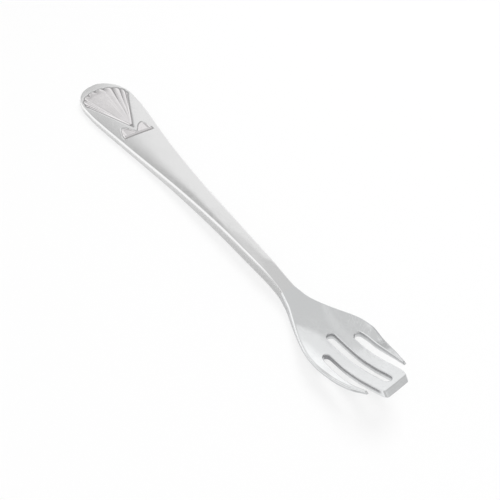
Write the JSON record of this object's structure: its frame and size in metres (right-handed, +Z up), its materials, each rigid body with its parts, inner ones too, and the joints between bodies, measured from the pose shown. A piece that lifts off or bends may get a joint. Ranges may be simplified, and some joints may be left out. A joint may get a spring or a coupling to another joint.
{
  "type": "oyster fork",
  "caption": "Small polished steel fork for oysters and shellfish, with a dished bowl, curved tines, a slim neck and a broad flat handle that carries a raised scallop shell.",
  "frame": {"origin": "middle of the fork's length and width, on the table that it lies on", "axes": "+X along the fork towards the tines, +Y across it to the left, +Z up"},
  "size_m": [0.14, 0.0174, 0.0086],
  "materials": {
    "polished_steel": "polished stainless steel with fine lengthwise wear scratches",
    "mirror_steel": "mirror polished stainless steel, a little worn in the bowl",
    "relief_steel": "pressed relief, polished on its high places and duller in its flutes"
  },
  "bodies": {
    "root": {"handle_end": "polished_steel", "handle_stem": "polished_steel", "neck": "polished_steel", "bowl": "mirror_steel", "tine_outer_left": "mirror_steel", "tine_inner_left": "mirror_steel", "tine_inner_right": "mirror_steel", "tine_outer_right": "mirror_steel", "tip_bar": "mirror_steel", "shell_fan": "relief_steel", "shell_foot": "relief_steel"}
  },
  "joints": []
}
